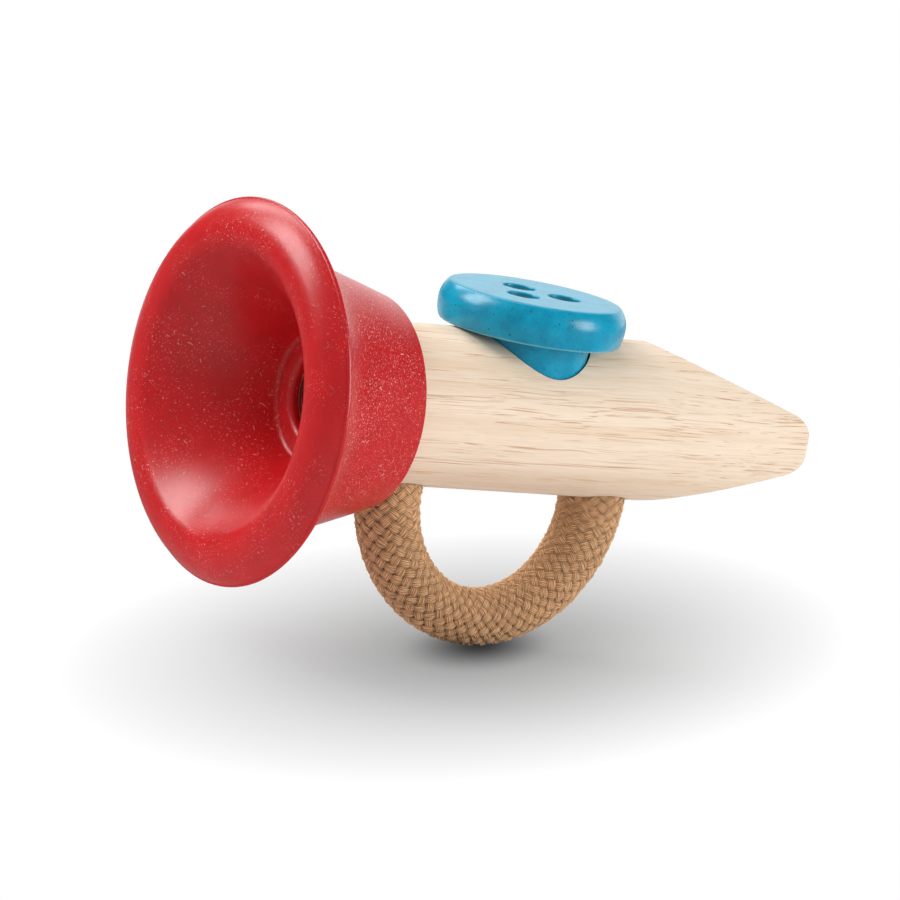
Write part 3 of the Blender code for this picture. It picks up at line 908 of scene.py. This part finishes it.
def bluePaint():
    look = paint
    material, add = newMaterial("blueSatinPaint")
    place = inMillimetres(add)
    mottle = add("TexNoise", {"Vector": place, "Scale": 0.3, "Detail": 5.0})
    mottle = add("MapRange", (mottle, 0.35, 0.65), **smooth)
    grain = add("TexNoise", {"Vector": place, "Scale": 2.2, "Detail": 4.0})
    grain = add("MapRange", (grain, 0.52, 0.72, 0.0, 0.25), **smooth)
    flecks = woodFlecks(add, *look["flecks"])
    flecks = add("Math", (flecks, look["flecksShow"]), operation="MULTIPLY")
    patches = add("TexNoise", {"Vector": place, "Scale": 0.16, "Detail": 2.0})
    limit = add("MapRange", (patches, 0.35, 0.7, *look["pitShare"]), **smooth)
    cells = add("TexVoronoi", {"Vector": place, "Scale": 1.0})
    chance = add("SeparateColor", (cells.outputs["Color"],)).outputs["Red"]
    chosen = add("Math", (chance, limit), operation="LESS_THAN")
    pits = add("MapRange", (cells.outputs["Distance"], *look["pitRadius"], 1.0, 0.0), **smooth)
    pits = add("Math", (pits, chosen), operation="MULTIPLY")
    # painted shade: the pits are darkened as well as bumped down
    pitShade = add("Math", (pits, 0.9), operation="MULTIPLY")

    # a painted highlight lightens the button's lower edge above the seat, as its rim catches the light
    seat, top, boss = cap["seat"], cap["seat"] + cap["thickness"], cap["boss"] / 2
    height = add("SeparateXYZ", (place,)).outputs["Z"]
    out = add("VectorMath", (place, (cap["place"], 0.0, 0.0)), operation="SUBTRACT")
    out = add("VectorMath", (out, (1.0, 1.0, 0.0)), operation="MULTIPLY")
    out = add("VectorMath", (out,), operation="LENGTH")
    low, high = look["seatEdgeHighlight"]
    seatEdgeHighlight = add("MapRange", (height, seat + low, seat + high, 1.0, 0.0), **smooth)
    outside = add("MapRange", (out, boss + 1.0, boss + 2.0, 0.0, 0.6), **smooth)
    seatEdgeHighlight = add("Math", (seatEdgeHighlight, outside), operation="MULTIPLY")
    # the flat top was sanded with the grain raised, and is duller than the rounded side; its colour is also
    # painted a little paler, standing in for the bright backdrop that it mirrors at a grazing angle
    low, high = look["topEdge"]
    flatTop = add("MapRange", (height, top - low, top - high), **smooth)
    rough = add("Math", (flatTop, look["topRougher"], look["roughness"]), operation="MULTIPLY_ADD")
    topPaintedPale = add("Math", (flatTop, 0.12), operation="MULTIPLY")
    # no paint has run down into the holes and the hollow
    low, high = look["paintedRim"]
    below = add("MapRange", (height, top - low, top - high, 1.0, 0.0), **smooth)
    inside = add("MapRange", (out, boss - 2.4, boss - 2.2, 1.0, 0.0), **smooth)
    unpainted = add("Math", (inside, below), operation="MULTIPLY")

    colour = linear(look["deep"])
    for share, name in ((mottle, "base"), (grain, "dark"), (flecks, "dark"), (pitShade, "dark"),
                        (seatEdgeHighlight, "paintedPale"), (topPaintedPale, "paintedPale"), (unpainted, "bare")):
        colour = add("Mix", {"Factor": share, "A": colour, "B": linear(look[name])}, **coloured)
    skin = add("TexNoise", {"Vector": place, "Scale": 2.6, "Detail": 3.0})
    skin = add("Math", (skin, 0.5), operation="MULTIPLY")
    relief = add("Math", (pits, -2.0, skin), operation="MULTIPLY_ADD")
    bump = add("Bump", {"Height": relief, "Strength": 0.35, "Distance": 0.00006})
    shader = add("BsdfPrincipled", {
        "Base Color": colour, "Roughness": rough, "Specular IOR Level": 0.44, "Normal": bump,
    })
    add("OutputMaterial", {"Surface": shader})
    return material


# Polyester film, a few hundredths of a millimetre thick: clear and glossy, with faint stretch lines
def clearFilm():
    material, add = newMaterial("stretchedClearFilm")
    place = inMillimetres(add, 0.0, (2.2, 0.7, 1.0))
    lines = add("TexNoise", {"Vector": place, "Scale": 1.0, "Detail": 2.0})
    bump = add("Bump", {"Height": lines, "Strength": 0.2, "Distance": 0.0002})
    pale, grey = linear("#f4f5f3"), linear("#e4e8e6")
    shade = add("Mix", {"Factor": lines, "A": pale, "B": grey}, **coloured)
    shader = add("BsdfPrincipled", {
        "Base Color": shade, "Roughness": 0.12, "IOR": 1.5, "Transmission Weight": 0.75, "Normal": bump,
    })
    add("OutputMaterial", {"Surface": shader})
    return material


# Raw card, punched to a ring: grey-brown and matt, with pulp fibres
def rawCard():
    material, add = newMaterial("rawPulpCard")
    pulp = add("TexNoise", {"Vector": inMillimetres(add), "Scale": 2.5, "Detail": 5.0})
    fibres = add("Math", (woodFlecks(add, 1.2, 0.8, 0.1, 0.5, 4.4), 0.5), operation="MULTIPLY")
    colour = linear("#b99f78")
    for share, more in ((pulp, "#d8c6a2"), (fibres, "#8a6d48")):
        colour = add("Mix", {"Factor": share, "A": colour, "B": linear(more)}, **coloured)
    bump = add("Bump", {"Height": pulp, "Strength": 0.4, "Distance": 0.0001})
    shader = add("BsdfPrincipled", {"Base Color": colour, "Roughness": 0.9, "Normal": bump})
    add("OutputMaterial", {"Surface": shader})
    return material


wear(hornBell, redWoodFibre())
wear(dowelBody, sandedRubberwood())
wear(buttonCap, bluePaint())
wear(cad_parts["membrane"], clearFilm())
wear(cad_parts["membrane_ring"], rawCard())
print("materials on")


# Floor, light and background. A light level of 1 is white.
studio = {
    "floorSize": 3.0,           # in m, the other lengths in mm
    "underRope": (4.9, 0.1, 0.0),
    "shadowSlant": 1.15,        # how far it runs back for each mm to the right, to lie level in the picture
    "shadowHalfWidth": 60.0,    # of the painted soft shadow, across the view, where the paper is white again
    "shadowHalfDepth": 100.0,   # and along the view
    "underKazoo": 0.27,         # how light the paper is in the middle of it
    "contactHalfWidth": 13.0,   # of the painted dark core, where the rope touches the paper
    "contactHalfDepth": 24.0,
    "underContact": 0.12,
    "mirrorNear": (25.0, 110.0),        # from the rope, where the mirrored paper fades from half to none
    "mirrorToward": (0.3, 0.8),         # cosine from the backdrop's middle, where it brightens
    "mirrorPaper": (0.42, 0.10),        # how light it is mirrored at the most, above the least
    "bounceHalfWidth": 13.0,            # of the painted dark spot under the rope, which gives back little light
    "bounceHalfDepth": 20.0,
    "bounceLeast": 0.10,
    "bounceFrom": (-110.0, -40.0),      # across the view: paper in the horn's shade is painted darker and gives back less
    "bounceInShade": 0.45,
    "softFront": 0.57,          # even light from the camera's side and from behind
    "softBack": 0.26,
    "dimRoom": 0.06,            # what the horn and cap mirror of the room beside and behind the camera
    "backdrop": 1.3,            # and of the backdrop, which is lit more than white
    "backdropAzimuth": 40.0,
    "backdropEdge": (0.74, 0.94),       # cosine from its middle, where it starts and where it is full
}
softboxes = {                   # azimuth and elevation in degrees, distance, width and height in m, and power
    "softboxLeft": (145, 39, 0.6, 0.30, 0.36, 3.1),
    "softboxRight": (-53, 20, 0.9, 0.36, 0.45, 4.4),
    "softboxTop": (98, 52, 0.6, 0.18, 0.56, 1.6),
}


def direction(azimuth, elevation=0.0):
    a, e = math.radians(azimuth), math.radians(elevation)
    return Vector((math.cos(a) * math.cos(e), math.sin(a) * math.cos(e), math.sin(e)))


def addFloor():
    s = studio
    bpy.ops.object.select_all(action="DESELECT")
    bpy.ops.mesh.primitive_plane_add(size=s["floorSize"], location=(0, 0, 0))
    floor = bpy.context.object
    floor.name = "floor"
    material, add = newMaterial("whitePaperFloor")
    rays = add("LightPath")
    right, ahead = direction(shot["azimuth"]), direction(shot["azimuth"] + 90)
    flat = inMillimetres(add)
    place = add("VectorMath", (flat, s["underRope"]), operation="SUBTRACT")
    across = add("VectorMath", (place, right), operation="DOT_PRODUCT")
    deep = add("VectorMath", (place, ahead), operation="DOT_PRODUCT")

    def ellipse(halfWidth, halfDepth, slant=0.0):
        # 0 under the rope, and 1 along an ellipse of this size
        depth = add("Math", (across, -slant, deep), operation="MULTIPLY_ADD")
        spot = add("CombineXYZ", (across, depth))
        share = add("VectorMath", (spot, (halfWidth, halfDepth, 1.0)), operation="DIVIDE")
        return add("VectorMath", (share,), operation="LENGTH")

    # painted shadow: the paper that the camera sees is darkened in a soft ellipse under the kazoo, darkest
    # where the rope touches it, and only a small share of it is real shade from the lamps
    paintedShadow = ellipse(s["shadowHalfWidth"], s["shadowHalfDepth"], s["shadowSlant"])
    paintedShadow = add("MapRange", (paintedShadow, 0.0, 1.0, s["underKazoo"], 1.0))
    paintedContact = ellipse(s["contactHalfWidth"], s["contactHalfDepth"], s["shadowSlant"])
    paintedContact = add("MapRange", (paintedContact, 0.0, 1.0, s["underContact"], 1.0), **smooth)
    level = add("Math", (paintedShadow, paintedContact), operation="MULTIPLY")
    shaded = add("BsdfDiffuse", {"Color": level})
    glow = add("Emission", {"Color": (1, 1, 1, 1), "Strength": level})
    paintedShare = add("MapRange", (paintedShadow, 0.6, 0.97, 0.90, 1.0), **smooth)
    looks = add("MixShader", (paintedShare, shaded, glow))
    # to other rays the paper's colour carries painted light and shade: white under the kazoo and towards the
    # backdrop and dimmer elsewhere, as the room is lit, and darkened under the rope and in the horn's shade
    near = add("MapRange", (ellipse(1.0, 1.0), *s["mirrorNear"], 0.5, 0.0), **smooth)
    toward = add("VectorMath", (flat,), operation="NORMALIZE")
    toward = add("VectorMath", (toward, direction(s["backdropAzimuth"])), operation="DOT_PRODUCT")
    toward = add("MapRange", (toward, *s["mirrorToward"]), **smooth)
    mirrored = add("Math", (near, toward), operation="MAXIMUM")
    mirrored = add("Math", (mirrored, *s["mirrorPaper"]), operation="MULTIPLY_ADD")
    underRope = ellipse(s["bounceHalfWidth"], s["bounceHalfDepth"])
    underRope = add("MapRange", (underRope, 0.0, 1.0, s["bounceLeast"], 1.0), **smooth)
    side = add("VectorMath", (flat, right), operation="DOT_PRODUCT")
    side = add("MapRange", (side, *s["bounceFrom"], s["bounceInShade"], 1.0), **smooth)
    bounce = add("Math", (underRope, side), operation="MULTIPLY")
    bounce = add("Mix", {"Factor": rays.outputs["Is Glossy Ray"], "A": bounce, "B": mirrored})
    paper = add("BsdfPrincipled", {"Base Color": bounce, "Roughness": 0.9})
    mixed = add("MixShader", (rays.outputs["Is Camera Ray"], paper, looks))
    add("OutputMaterial", {"Surface": mixed})
    wear(floor, material)


def addBackdrop():
    # pieces mirror a white backdrop behind the kazoo and a dim room all round
    s = studio
    world = bpy.data.worlds.new("whiteBackdrop")
    bpy.context.scene.world = world
    world.use_nodes = True
    world.node_tree.nodes.clear()
    add = partial(addNode, world.node_tree)
    rays = add("LightPath")
    ray = add("TexCoord").outputs["Generated"]
    facing = add("VectorMath", (ray, direction(s["backdropAzimuth"])), operation="DOT_PRODUCT")
    facing = add("MapRange", (facing, *s["backdropEdge"]), **smooth)
    brighter = s["backdrop"] - s["dimRoom"]
    mirrored = add("Math", (facing, brighter, s["dimRoom"]), operation="MULTIPLY_ADD")
    front = add("VectorMath", (ray, direction(shot["azimuth"] - 90)), operation="DOT_PRODUCT")
    even = add("MapRange", (front, -0.8, 0.8, s["softBack"], s["softFront"]), **smooth)
    glossy, through = rays.outputs["Is Glossy Ray"], rays.outputs["Is Transmission Ray"]
    seen = add("Math", (glossy, through), operation="MAXIMUM")
    strength = add("Mix", {"Factor": seen, "A": even, "B": mirrored})
    strength = add("Math", (strength, rays.outputs["Is Camera Ray"]), operation="MAXIMUM")
    sky = add("Background", {"Color": (1, 1, 1, 1), "Strength": strength})
    add("OutputWorld", {"Surface": sky})


def addSoftbox(name, azimuth, elevation, distance, width, height, power):
    toward = direction(azimuth, elevation)
    data = bpy.data.lights.new(name, "AREA")
    data.shape = "RECTANGLE"
    data.size, data.size_y = width, height
    data.energy = power
    lamp = bpy.data.objects.new(name, data)
    lamp.location = Vector(shot["target"]) * mm + toward * distance
    lamp.rotation_euler = toward.to_track_quat("Z", "Y").to_euler()
    bpy.context.collection.objects.link(lamp)


addFloor()
addBackdrop()
for name, values in softboxes.items():
    addSoftbox(name, *values)
bpy.context.scene.view_settings.view_transform = "Standard"
print("studio lit")
